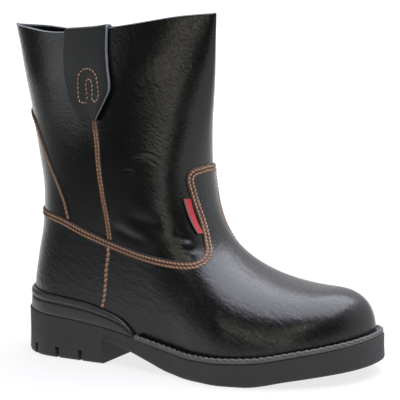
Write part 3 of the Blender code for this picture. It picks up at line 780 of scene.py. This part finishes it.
def shaft(thread):
    """Outer leather of the shaft, its front panel lapped over the back panel at the side seams."""
    beside_seam = np.array([-6.0, -3.0, -1.2, -0.12, 0.0, 0.12, 0.5, 1.0, 1.5, 2.0,
                            2.6, 3.4, 4.0, 4.5, 5.4, 7.0, 9.5])
    even = np.linspace(0.0, 1.0, 112)
    columns, from_seam = seam_columns(even, SIDE_COLUMN, beside_seam, SHAFT_SHARE, 0.004)
    # Rows lie closer together where the finest creases are
    ups = np.concatenate([np.linspace(0.30, 0.592, 50), np.linspace(0.594, 0.68, 56),
                          np.linspace(0.686, 0.985, 50), [0.991, 0.9955, 0.9985]])[:, None]
    ring = along_seam(columns, ups, SIDE_COLUMN, SIDE_SEAM, 0.22)
    # The back panel lies one step deeper beside the seam and comes out to the same face behind it
    lapped = ((from_seam <= 0.06) * (1 - smooth((-from_seam - 4.0) / 20.0)))[:, None]
    face = SHAFT_FACE - LEATHER_OVER
    grid = skin(ring, ups, face) * (1 - lapped) + skin(ring, ups, face + PANEL_STEP) * lapped
    sink = press(from_seam, SIDE_ROWS, 0.22) * smooth((0.98 - ups) / 0.02)
    grid = grid + outward(ring, ups) * (relief(grid) - sink)[..., None]
    # Rounded cut edge of the collar, and the turn down inside
    top_out = skin(ring[-1], 1.0, SHAFT_FACE)
    top_in = skin(ring[-1], 1.0, WALL)
    rim = []
    for share, drop in ((0.03, 0.35), (0.12, 0.08), (0.32, 0.0), (0.68, 0.0), (0.88, 0.08), (0.97, 0.35)):
        row = top_out * (1 - share) + top_in * share
        row[:, 2] -= drop
        rim.append(row)
    inside = [skin(ring[-1], up, WALL) for up in (0.995, 0.985, 0.97)]
    rows = np.concatenate([grid, rim, inside])
    count = len(columns)
    faces = grid_faces(len(rows), count, False, True)
    pick = np.zeros(len(faces), int)
    first_rim = (len(grid) - 1) * count
    pick[first_rim:first_rim + (len(rim) + 1) * count] = 1
    looks = [SHAFT_LEATHER, CUT_EDGE, LINING]
    shown = piece("shaft_leather", rows, faces, "black_leather", looks, 50.0, pick)
    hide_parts("upper")
    # Two rows of stitches in front of each side seam, from under the strap to the vamp
    ups = np.linspace(0.385, 0.80, 60)
    for outer in (True, False):
        ring = seam_at(SIDE_SEAM, ups, outer)
        for offset in SIDE_ROWS:
            moved = ring + (1.0 if outer else -1.0) * offset / SHAFT_SHARE
            thread.row(moved, ups, SHAFT_FACE - 0.12, FINE_PITCH, FINE_THREAD)


def lining():
    """Cloth inside, from just under the collar down to the insole."""
    columns = both_sides(np.linspace(0.0, 1.0, 70))
    ups = np.concatenate([np.linspace(0.0, 0.06, 6), np.linspace(0.08, 0.975, 64)])[:, None]
    rows = skin(columns[None], ups, WALL)
    back = skin(columns[None], ups[::-1], WALL - 1.0)
    rows = np.concatenate([rows, back])
    faces = grid_faces(len(rows), len(columns), True, True)
    shown = piece("lining", rows, faces, "insole_board", [LINING], 50.0)
    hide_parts("upper")


def foot_edge(columns):
    """Edge of the vamp and counter. The tongue reaches a little farther back on the inner side."""
    inner = 2.0 - columns
    tongue = smooth((inner - 0.77) / 0.09) * smooth((0.965 - inner) / 0.02) * (columns > 1.0)
    return mirrored(FOOT_EDGE, "around", columns) + TONGUE_BACK * tongue, mirrored(FOOT_EDGE, "up", columns)


def vamp_and_counter(thread):
    """The leather of the foot: the counter behind, and the vamp lapped over it at the low seams."""
    dense = np.linspace(0.0, 1.0, 3000)
    along = reach(skin(*foot_edge(dense)))
    even = np.interp(np.linspace(0.0, along[-1], 150), along, dense)
    beside_seam = np.array([-6.0, -3.0, -1.2, -0.12, 0.0, 0.12, 0.6, 1.3, 2.0, 2.7, 3.4, 4.6, 6.5])
    columns, from_seam = seam_columns(even, LOW_COLUMN, beside_seam, SOLE_SHARE, 0.002)
    edge_ring, edge_up = foot_edge(columns)
    distances = np.array([6.2, 5.6, 5.1, 4.6, 4.1, 3.6, 3.0, 2.4, 1.9, 1.4, 0.9, 0.45, 0.15, 0.0, 0.0])
    drops = np.array([0.0] * 12 + [0.15, 0.6, 1.6])
    band = [beside(edge_ring, edge_up, d) for d in distances]
    start_ring, start_up = band[0]
    w = np.linspace(0.0, 1.0, 92)[:-1, None]
    ups = 0.004 + (start_up - 0.004) * w
    pulled = along_seam(columns, ups, LOW_COLUMN, LOW_SEAM, 0.24)
    # The columns follow the seam below, and turn to the edge's own places near the top
    ring = pulled + (start_ring - pulled) * w ** 12
    ring = np.concatenate([ring, [r for r, _ in band]])
    ups = np.concatenate([ups, [u for _, u in band]])
    on_vamp = (from_seam > 0.06)[None]
    drop = np.concatenate([np.zeros(len(w)), drops])[:, None]
    sink = np.concatenate([np.zeros(len(w)), press(distances, (FIRST_ROW, SECOND_ROW), 0.24)])[:, None]
    low_row = press(from_seam, (LOW_ROW,), 0.35)[None] * (1.0 - smooth((ups - 0.33) / 0.03))
    vamp = skin(ring, ups, VAMP_FACE)
    counter = skin(ring, ups, COUNTER_FACE)
    grid = np.where(on_vamp[..., None], vamp, counter)
    grid = grid + outward(ring, ups) * (relief(grid) - sink - drop - low_row)[..., None]
    count = len(columns)
    faces = grid_faces(len(grid), count, False, True)
    pick = np.zeros(len(faces), int)
    pick[(len(grid) - 4) * count:] = 1
    shown = piece("vamp_and_counter", grid, faces, "black_leather", [FOOT_LEATHER, DARK_EDGE], 48.0, pick)
    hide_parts("upper")
    for outer_side in (True, False):
        t = np.linspace(0.0, 1.0, 1200) if outer_side else np.linspace(2.0, 1.0, 1200)
        for row in (FIRST_ROW, SECOND_ROW):
            line_ring, line_up = foot_edge(t)
            r, u = beside(line_ring, line_up, row if outer_side else -row, False)
            thread.row(r, u, FOOT_FACE - 0.05, FINE_PITCH, FINE_THREAD)
        ups = np.linspace(0.352, 0.062, 60)
        r = seam_at(LOW_SEAM, ups, outer_side) + (1.0 if outer_side else -1.0) * LOW_ROW / SOLE_SHARE
        thread.row(r, ups, VAMP_FACE + 0.1, THICK_PITCH, THICK_THREAD, 1.7)


def back_stay(thread):
    """Reinforcing leather up the back, narrowing to a point."""
    t = np.linspace(0.0, 1.0, 90)
    edge_up = curve(STAY_EDGE, "up", t)
    edge_around = curve(STAY_EDGE, "around", t)
    half = np.concatenate([np.linspace(0.0, 0.94, 14), [0.97, 0.985, 1.0, 1.0]])
    across = np.concatenate([half[::-1], -half[1:]])
    drop = np.zeros(len(across))
    drop[:3] = (1.4, 0.5, 0.12)
    drop[-3:] = (0.12, 0.5, 1.4)
    ring = edge_around[:, None] * across[None]
    ups = edge_up[:, None] + 0 * ring
    grid, out = leather(ring, ups, STAY_FACE)
    grid = grid - out * drop[None, :, None]
    shown = piece("back_stay", grid, grid_faces(*grid.shape[:2]), "black_leather", [SHAFT_LEATHER], 45.0)
    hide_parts("upper")
    for sign in (-1.0, 1.0):
        r, u = beside(-sign * edge_around[12:-6], edge_up[12:-6], sign * FIRST_ROW, False)
        thread.row(r, u, STAY_FACE, STAY_PITCH, STAY_THREAD)


def strap_edges(up):
    """Where a strap's back and front edges lie, as shares around."""
    return curve(STRAP, "from", up), curve(STRAP, "to", up)


def strap_gap(share, up):
    """Gap between the shaft and a strap, wider toward the strap's front edge and narrower near the collar."""
    lift = 0.4 + 1.8 * smooth((share - 0.45) / 0.5)
    return CLEAR + 0.3 + lift * (1 - 0.85 * smooth((up - 0.8) / 0.2))


def pull_strap(name, side, thread):
    """A leather strap folded over the collar, standing off the shaft along its front edge."""
    share = np.concatenate([[0.0, 0.02], np.linspace(0.06, 0.94, 22), [0.98, 1.0]])
    round_off = np.zeros(len(share))
    round_off[[0, -1]] = 0.55
    round_off[[1, -2]] = 0.12
    outer_rows = []
    inner_rows = []
    low = STRAP["up"][0]
    for up in np.concatenate([low + np.array([0.0, 0.0015, 0.004]), np.linspace(low + 0.008, 1.0, 52)]):
        back, front = strap_edges(up)
        face = upper_points(back + (front - back) * share, up, SHAFT_FACE, side)
        out = level_out(face, side)
        near = strap_gap(share, up) + round_off
        thick = STRAP_THICK - 2 * round_off - (0.9 if up == low else 0.0)
        inner_rows.append(face + out * near[:, None])
        outer_rows.append(face + out * (near + thick)[:, None])
    back, front = strap_edges(1.0)
    wide = back + (front - back) * share
    rim_out = upper_points(wide, 1.0, SHAFT_FACE, side)
    rim_in = upper_points(wide, 1.0, WALL, side)
    out = level_out(rim_out, side)
    middle = (rim_out + rim_in) / 2
    half = np.abs(((rim_out - rim_in) * out).sum(1)) / 2
    sheet = ((inner_rows, STRAP_FOLD + round_off), (outer_rows, STRAP_FOLD + STRAP_THICK - round_off))
    for angle in np.radians(np.linspace(12.0, 168.0, 11)):
        for rows, extra in sheet:
            row = middle + out * ((half + extra) * np.cos(angle))[:, None]
            row[:, 2] += extra * np.sin(angle)
            rows.append(row)
    for up in np.linspace(0.99, 0.885, 12):
        face = upper_points(wide, up, WALL, side)
        for rows, extra in sheet:
            rows.append(face - out * extra[:, None])
    sections = np.concatenate([np.array(outer_rows), np.array(inner_rows)[:, ::-1]], 1)
    across = len(share)
    edges = (0, across - 2, across - 1, across, 2 * across - 2, 2 * across - 1)
    faces, pick = sheet_faces(len(sections), 2 * across, edges, 1)
    shown = piece(name, sections, faces, "black_leather", [STRAP_LEATHER, CUT_EDGE], 50.0, pick)
    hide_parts(name)
    # One row of stitches, a loop inside a loop
    shares = spline(np.stack(list(STRAP_STITCHES.values()), 1), 400)
    along = reach(strap_line(shares[:, 0], shares[:, 1], side))
    at = np.linspace(0.0, along[-1], int(along[-1] / STRAP_PITCH))
    points = strap_line(np.interp(at, along, shares[:, 0]), np.interp(at, along, shares[:, 1]), side)
    thread.add(points, np.tile([0.0, side, 0.0], (len(points), 1)), STRAP_THREAD, 0.4)


def strap_line(around, up, side):
    """Points on the strap's outer face."""
    back, front = strap_edges(up)
    gap = strap_gap((around - back) / (front - back), up) + STRAP_THICK
    e = 0.002
    ahead = upper_points(around + e, up, SHAFT_FACE, side) - upper_points(around - e, up, SHAFT_FACE, side)
    return upper_points(around, up, SHAFT_FACE, side) + level(ahead, side) * (gap + 0.1)[:, None]


def level(run, side):
    """Level directions out of the boot, square to a run forward along one side."""
    return unit(np.stack([run[:, 1], -run[:, 0], 0 * run[:, 0]], -1)) * -side


def level_out(line, side):
    """Level directions out of a line that runs forward along one side."""
    return level(np.gradient(line, axis=0), side)


def side_tab():
    """A plain folded ribbon sewn into the edge of the vamp."""
    outer = []
    inner = []
    share = np.linspace(0.0, 1.0, 12)
    stand = 0.9 * (1 - smooth(share / 0.9))
    for t in np.linspace(0.0, 1.0, 24):
        start = curve(TAB, "from", t)
        around = start + (curve(TAB, "to", t) - start) * share
        face = upper_points(around, curve(TAB, "up", t), SHAFT_FACE, -1.0)
        out = level_out(face, -1.0)
        inner.append(face + out * (TAB_FACES[0] + stand)[:, None])
        outer.append(face + out * (TAB_FACES[1] + stand)[:, None])
    sections = np.concatenate([np.array(outer), np.array(inner)[:, ::-1]], 1)
    columns = 2 * len(share)
    faces, pick = sheet_faces(len(sections), columns, (0, 1, 2, columns - 1), 0)
    shown = piece("side_tab_ribbon", sections, faces, "red_tab", [TAB_RIBBON, TAB_EDGE], 50.0, pick)
    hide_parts("side_tab")


def stack_faces(rows, columns):
    """Faces of closed outlines one above the other, with cross strips over the first and the last."""
    faces = list(grid_faces(rows, columns, False, True))
    half = columns // 2
    for r in (0, rows - 1):
        base = r * columns
        faces.append([base, base + 1, base + columns - 1])
        for c in range(1, half - 1):
            faces.append([base + c, base + c + 1, base + columns - c - 1, base + columns - c])
        faces.append([base + half - 1, base + half, base + half + 1])
    return faces


def box_cutter(boxes):
    """Boxes between low and high corners, as one object that cuts the notches and grooves."""
    mesh = bpy.data.meshes.new("cuts")
    body = bmesh.new()
    for low, high in np.array(boxes, float):
        centre = ((low + high) / 2 - (HEEL_CENTRE, 0.0, 0.0)) * MM
        place = Matrix.Translation(centre) @ Matrix.Diagonal((*((high - low) * MM), 1.0))
        bmesh.ops.create_cube(body, size=1.0, matrix=place)
    body.to_mesh(mesh)
    body.free()
    cutter = bpy.data.objects.new("cuts", mesh)
    bpy.context.scene.collection.objects.link(cutter)
    return cutter


def outsole():
    """Rubber sole with its heel, notches cut in the heel's sides and grooves between the lugs."""
    heel = BREAST * (1 - np.cos(np.linspace(0.0, np.pi / 2, 40))) ** 0.9
    waist = np.linspace(BREAST + 0.9, ROLL_START, 62)
    toe = ROLL_START + (SOLE_LENGTH - ROLL_START) * np.sin(np.linspace(0.0, np.pi / 2, 50))[1:]
    stations = np.concatenate([heel, waist, toe])
    bottom = np.where(stations <= BREAST, 0.0, curve(SOLE_BOTTOM, "z", stations))
    top = curve(SOLE_TOP, "z", stations)
    rings = []
    for share, above, inset in zip(*SOLE_RINGS.values()):
        z = bottom + (top - bottom) * share + above
        taper = HEEL_TAPER * (1 - share) * smooth((110.0 - stations) / 30.0)
        at = np.clip(stations, inset, SOLE_LENGTH - inset)
        lateral, medial = plan_widths(at, inset)
        at = at + taper * (1 - smooth(stations / 50.0))
        near = np.stack([at, -(lateral - taper * smooth(lateral / 6.0)), z], -1)
        far = np.stack([at, medial - taper * smooth(medial / 6.0), z], -1)
        rings.append(np.concatenate([near, far[-2:0:-1]]))
    rings = np.array(rings)
    shown = piece("outsole_rubber", rings, stack_faces(*rings.shape[:2]), "dark_rubber", [RUBBER], 38.0)
    cuts = []
    for x in NOTCHES:
        lateral, medial = plan_widths(x)
        back = x - NOTCH_WIDTH / 2
        front = x + NOTCH_WIDTH / 2
        cuts.append(((back, -lateral - 3.0, -1.0), (front, NOTCH_DEPTH - lateral, NOTCH_HEIGHT)))
        cuts.append(((back, medial - NOTCH_DEPTH, -1.0), (front, medial + 3.0, NOTCH_HEIGHT)))
    for x in LUGS:
        back = x - LUG_GROOVE / 2
        front = x + LUG_GROOVE / 2
        lateral, medial = plan_widths(np.array([back, front]), LUG_RIM)
        middle = float(toe_shift(x))
        ceiling = LUG_DEPTH + float(curve(SOLE_BOTTOM, "z", max(x, TREAD_START)))
        cuts.append(((back, -lateral.min(), -1.0), (front, middle - LUG_SPINE / 2, ceiling)))
        cuts.append(((back, middle + LUG_SPINE / 2, -1.0), (front, medial.min(), ceiling)))
    cutter = box_cutter(cuts)
    modifier = shown.modifiers.new("cuts", "BOOLEAN")
    modifier.operation = "DIFFERENCE"
    modifier.object = cutter
    graph = bpy.context.evaluated_depsgraph_get()
    cut = bpy.data.meshes.new_from_object(shown.evaluated_get(graph))
    shown.modifiers.clear()
    shown.data = cut
    cut.shade_smooth()
    cut.set_sharp_from_angle(angle=np.radians(38.0))
    bpy.data.objects.remove(cutter)
    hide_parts("outsole")


def foot_line(first, last, count, up=0.0):
    """Points on the foot's leather near its lower edge, between two places along the ring."""
    return skin(np.linspace(first, last, count), up, FOOT_FACE)


def share_at(x):
    """Share around the foot's lower edge that lies at x."""
    steps = np.linspace(0.0, 1.0, 400)
    return float(np.interp(x, skin(steps, 0.0, FOOT_FACE)[:, 0], steps))


def heel_cup():
    """Moulded cup round the heel that leans with the leather, with a ledge, a groove and a bead."""
    end = share_at(CUP["x"][-1])
    base = foot_line(end, -end, 119)
    raised = foot_line(end, -end, 119, 0.07)
    out = level_out(base, 1.0)
    height = curve(CUP, "height", base[:, 0])
    lean = (raised - base)[:, :2] / (raised - base)[:, 2:]
    rows = []
    for d, u in zip(CUP_SECTION["out"], CUP_SECTION["up"]):
        row = base + out * (d + CLEAR + 0.1)
        row[:, :2] += lean * (height * u)[:, None]
        row[:, 2] = curve(SOLE_TOP, "z", base[:, 0]) + CLEAR + height * u
        rows.append(row)
    shown = sweep("heel_cup_rubber", np.array(rows).transpose(1, 0, 2), "dark_rubber", [CUP_RUBBER], 50.0)
    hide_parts("heel_cup")


def welt():
    """Flat welt, with thick grey thread laid along its outer edge."""
    start = share_at(WELT_START)
    base = foot_line(start, 2.0 - start, 219)
    out = level_out(base, -1.0)
    rows = []
    for d, u in zip(WELT_SECTION["out"], WELT_SECTION["up"]):
        row = base + out * (d + CLEAR + 0.4)
        row[:, 2] = curve(SOLE_TOP, "z", row[:, 0]) + CLEAR + u
        rows.append(row)
    shown = sweep("welt_strip", np.array(rows).transpose(1, 0, 2), "welt_grey", [WELT_RUBBER], 50.0)
    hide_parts("welt")
    line = base + out * (3.4 + CLEAR + 0.4)
    line[:, 2] = curve(SOLE_TOP, "z", line[:, 0]) + CLEAR + 2.45
    along = reach(line)
    at = np.linspace(0.0, along[-1], int(round(along[-1] / WELT_PITCH)) + 1)
    holes = np.stack([np.interp(at, along, line[:, k]) for k in range(3)], 1)
    up = np.tile([0.0, 0.0, 1.0], (len(holes) - 1, 1))
    aside = np.stack([np.interp(at, along, out[:, k]) for k in range(3)], 1)
    # Each stitch starts a little inside and ends a little outside, so that they lie like a rope
    start = holes[:-1] - aside[:-1] * 0.7
    end = holes[1:] + aside[1:] * 0.7
    points, faces = stitch_mesh(start, end, up, WELT_THREAD, -0.5, 10)
    piece("welt_stitches", points, faces, "welt_grey", [WELT_THREAD_LOOK], 60.0)


def insole():
    """Insole board with its sock, its edge turned up a little against the lining."""
    columns = both_sides(np.linspace(0.0, 1.0, 60))
    ring = skin(columns, 0.0, WALL + 0.9)
    middle = ring.mean(0)
    rings = []
    for lift, inset in ((0.0, 0.3), (0.4, 0.0), (2.4, 0.0), (3.0, 0.5), (3.1, 1.4)):
        row = ring.copy()
        inward = unit((middle - ring) * (1.0, 1.0, 0.0))
        row = row + inward * inset
        row[:, 2] = curve(SOLE_TOP, "z", ring[:, 0]) + CLEAR + lift
        rings.append(row)
    rings = np.array(rings)
    shown = piece("insole_sock", rings, stack_faces(*rings.shape[:2]), "insole_board", [INSOLE_CLOTH], 50.0)
    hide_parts("insole")


def put(obj, right, up, back, spot):
    """Put an object into the scene at a spot, with its own axes along three directions."""
    place = Matrix.Identity(4)
    for row in range(3):
        place[row] = right[row], up[row], back[row], spot[row]
    obj.matrix_world = place
    bpy.context.scene.collection.objects.link(obj)


def area_light(name, direction, size, power, colour, turn=0.0):
    """A soft rectangular light in a direction from the boot, turned about its own axis by some degrees."""
    light = bpy.data.lights.new(name, "AREA")
    light.shape = "RECTANGLE"
    light.size, light.size_y = size
    light.energy = power
    light.color = colour
    back = unit(np.array(direction, float))
    upright = (-0.3, 1.0, 0.0) if back[2] > 0.9 else (0.0, 0.0, 1.0)
    side = unit(np.cross(upright, back))
    up = np.cross(back, side)
    c = np.cos(np.radians(turn))
    s = np.sin(np.radians(turn))
    spot = np.array(LIT_PLACE) + back * LIGHT_DISTANCE
    put(bpy.data.objects.new(name, light), side * c + up * s, up * c - side * s, back, spot)


def facing(tree, vector, azimuth):
    """How far a vector reaches in a level direction."""
    inputs = {0: vector, 1: toward(azimuth, 0.0)}
    return node(tree, "VectorMath", inputs, operation="DOT_PRODUCT").outputs["Value"]


def studio():
    """A pale floor lit like a backdrop behind the boot, a dim room before it, and soft lights."""
    mesh = bpy.data.meshes.new("floor")
    half = 40.0
    corners = [(x, y, -0.0002) for x, y in ((-half, -half), (half, -half), (half, half), (-half, half))]
    mesh.from_pydata(corners, [], [(0, 1, 2, 3)])
    look, tree, shader, place = principled("floor", (0.15, 0.15, 0.15), 0.9, 0.0)
    near = ranged(tree, facing(tree, place, 70.0), 0.0, 0.78, -0.34, -0.19)
    far = ranged(tree, facing(tree, place, CAMERA_AZIMUTH + 90.0), 0.0, 0.55, 0.1, 2.0)
    glow = node(tree, "Math", {0: near, 1: far}, operation="ADD")
    tree.links.new(glow.outputs[0], shader.inputs["Emission Strength"])
    shader.inputs["Emission Color"].default_value = (1.0, 1.0, 1.0, 1.0)
    mesh.materials.append(look)
    floor = bpy.data.objects.new("floor", mesh)
    bpy.context.scene.collection.objects.link(floor)
    world = bpy.data.worlds.new("studio")
    bpy.context.scene.world = world
    world.use_nodes = True
    tree = world.node_tree
    ground = tree.nodes["Background"]
    ground.inputs[0].default_value = (0.97, 0.98, 1.0, 1.0)
    sight = node(tree, "TexCoord").outputs["Generated"]
    height = node(tree, "SeparateXYZ", {0: sight}).outputs["Z"]
    back_glow = ranged(tree, facing(tree, sight, 80.0), 0.0, 1.0, -0.1, 0.45)
    low_glow = ranged(tree, height, 1.05, 1.3, 0.15, 0.7)
    glow = node(tree, "Math", {0: back_glow, 1: low_glow}, operation="MULTIPLY")
    full = node(tree, "Math", {0: glow.outputs[0], 1: 0.07}, operation="ADD")
    tree.links.new(full.outputs[0], ground.inputs[1])
    area_light("overhead", toward(30.0, 75.0), (1.6, 2.1), 66.0, (0.88, 0.89, 1.0))
    area_light("slanting_strip", toward(-76.0, 12.0), (0.12, 1.1), 2.3, (1.0, 0.94, 0.80), 47.0)
    area_light("small_window", toward(-58.0, 29.0), (0.36, 0.14), 1.4, (1.0, 0.94, 0.80))
    area_light("left_fill", toward(-142.0, 17.0), (0.9, 0.6), 2.4, (0.96, 0.98, 1.0))


def toward(azimuth, elevation):
    """Direction with an azimuth from the toe and an elevation above the floor, in degrees."""
    a = np.radians(azimuth)
    e = np.radians(elevation)
    return np.cos(a) * np.cos(e), np.sin(a) * np.cos(e), np.sin(e)


def camera():
    """The photograph's camera, rolled a little."""
    a = np.radians(CAMERA_AZIMUTH)
    e = np.radians(CAMERA_ELEVATION)
    r = np.radians(CAMERA_ROLL)
    back = np.array([np.sin(a) * np.cos(e), -np.cos(a) * np.cos(e), np.sin(e)])
    right = np.array([np.cos(a), np.sin(a), 0.0])
    up = np.cross(back, right)
    spot = (np.array(CAMERA_TARGET) - (HEEL_CENTRE, 0.0, 0.0) + back * CAMERA_DISTANCE) * MM
    data = bpy.data.cameras.new("camera")
    data.sensor_width = SENSOR
    data.lens = LENS
    obj = bpy.data.objects.new("camera", data)
    put(obj, right * np.cos(r) + up * np.sin(r), up * np.cos(r) - right * np.sin(r), back, spot)
    bpy.context.scene.camera = obj
    bpy.context.scene.view_settings.view_transform = "Standard"


camera()
CREASE_LINES = crease_lines()
THREADS = Thread()
shaft(THREADS)
lining()
vamp_and_counter(THREADS)
back_stay(THREADS)
pull_strap("pull_strap_lateral", -1.0, THREADS)
pull_strap("pull_strap_medial", 1.0, THREADS)
piece("stitches", *Thread.joined(THREADS.parts), "black_leather", [THREAD], 60.0)
# Dark strips under the stitches: painted shade of the seam grooves and needle holes, partly the thread below
piece("stitch_beds_painted_shade", *Thread.joined(THREADS.shade_beds), "black_leather", [SEAM_BED_SHADE], 60.0, closed=False)
side_tab()
outsole()
heel_cup()
welt()
insole()
studio()
